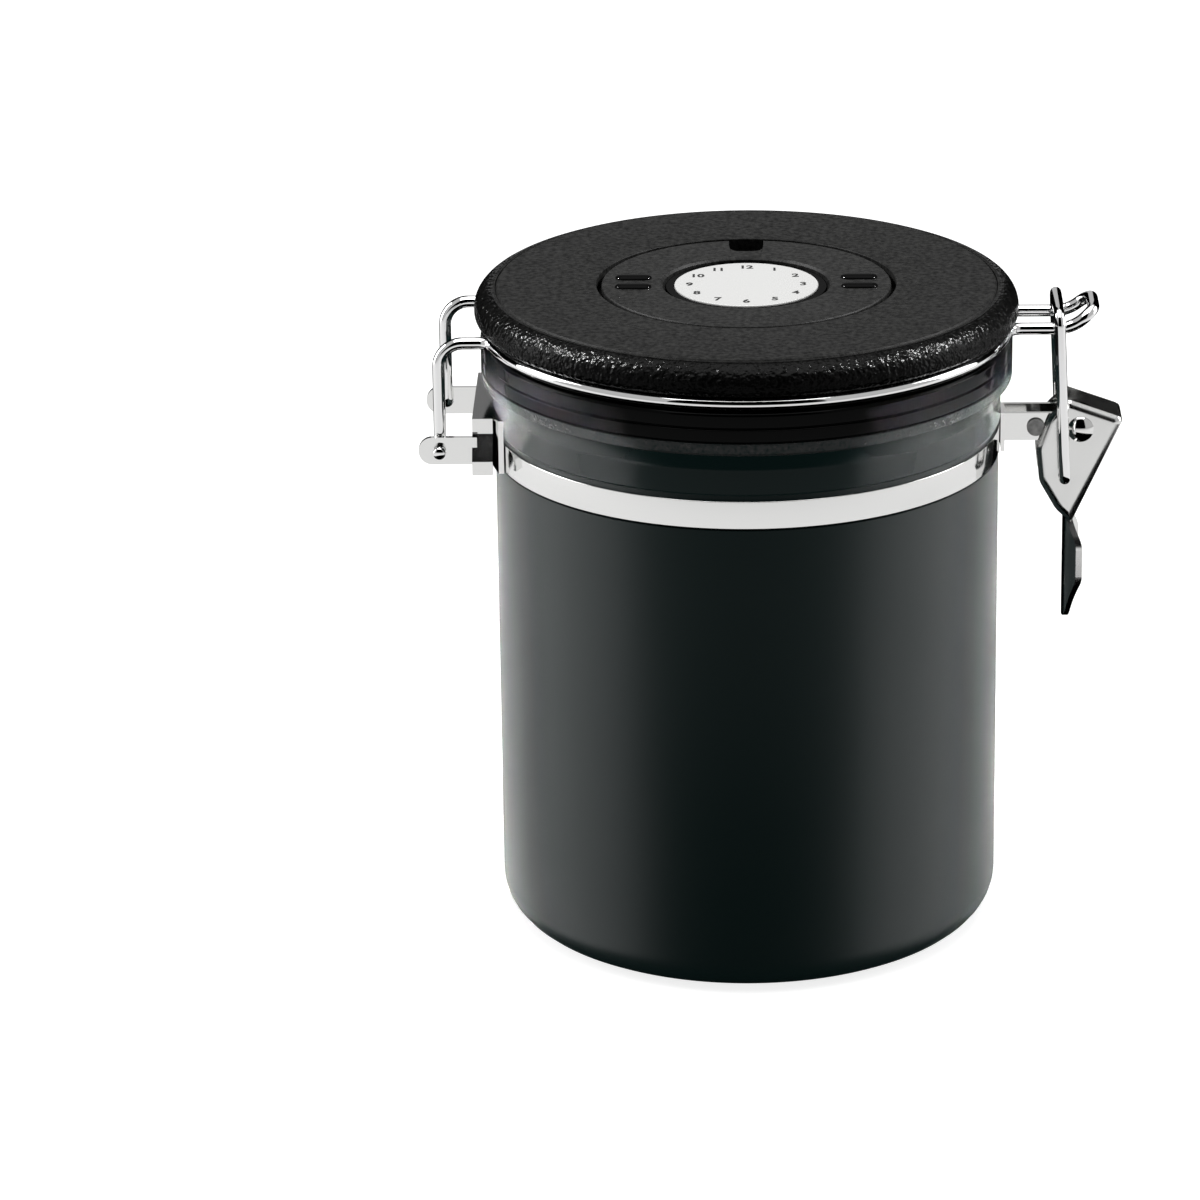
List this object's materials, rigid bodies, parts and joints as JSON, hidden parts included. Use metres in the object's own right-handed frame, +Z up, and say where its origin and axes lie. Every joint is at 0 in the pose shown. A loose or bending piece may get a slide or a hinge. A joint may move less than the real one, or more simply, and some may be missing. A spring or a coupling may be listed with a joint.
{
  "type": "coffee canister with vent valve",
  "caption": "Round airtight steel storage canister with a wire-hinged plastic lid, a toggle clamp, a turning date ring and a one-way vent valve in the lid.",
  "frame": {"origin": "centre of the flat base, on the axis of the body", "axes": "+Z up along the body's axis, -X towards the hinge, +X towards the toggle clamp, -Y to the front"},
  "size_m": [0.1721, 0.1332, 0.1641],
  "materials": {
    "body_paint": "satin",
    "bright_steel": "polished",
    "lever_steel": "polished",
    "bright_wire": "polished",
    "lid_plastic": "fine grain",
    "gloss_insert": "gloss",
    "silicone": "matt",
    "screw_steel": "zinc plated",
    "ring_plastic": "fine grain",
    "hub_plastic": "gloss",
    "disc_silver": "satin silver",
    "filter_felt": "felt"
  },
  "bodies": {
    "canister": {"canister_body": "body_paint", "clamp_band": "bright_steel", "hinge_bracket": "bright_steel", "latch_bracket": "bright_steel", "clamp_rivet": "bright_steel", "lever_pivot": "bright_steel"},
    "lid": {"lid_cover": "lid_plastic", "lid_insert": "gloss_insert", "lid_seal": "silicone", "lid_bail": "bright_wire", "lid_screws": "screw_steel", "dial_hub": "hub_plastic", "hub_screw": "screw_steel", "month_disc": "disc_silver", "valve_housing": "gloss_insert", "valve_filter": "filter_felt"},
    "date_ring": {"date_ring": "ring_plastic"},
    "vent_flap": {"valve_flap": "silicone"},
    "lever": {"latch_lever": "lever_steel"},
    "link": {"link_bail": "bright_wire"}
  },
  "joints": [
    {"name": "lid_hinge", "type": "hinge", "parent": "canister", "child": "lid", "pos_m": [-0.0748, 0, 0.1268], "axis": [0, -1, 0], "range_deg": [0, 105]},
    {"name": "date_ring_turn", "type": "hinge", "parent": "lid", "child": "date_ring", "pos_m": [0, 0, 0.1614], "axis": [0, 0, 1], "continuous": true},
    {"name": "vent_flap_lift", "type": "slide", "parent": "lid", "child": "vent_flap", "axis": [0, 0, 1], "range_m": [0, 0.0008]},
    {"name": "lever_pivot_turn", "type": "hinge", "parent": "canister", "child": "lever", "pos_m": [0.0819, 0, 0.12705], "axis": [0, -1, 0], "range_deg": [0, 120]},
    {"name": "link_hook_turn", "type": "hinge", "parent": "lever", "child": "link", "pos_m": [0.07804, 0, 0.11516], "axis": [0, -1, 0], "range_deg": [-94, 0]}
  ],
  "couplings": [
    {"joint": "link_hook_turn", "follows": "lever_pivot_turn", "ratio": -0.78}
  ]
}
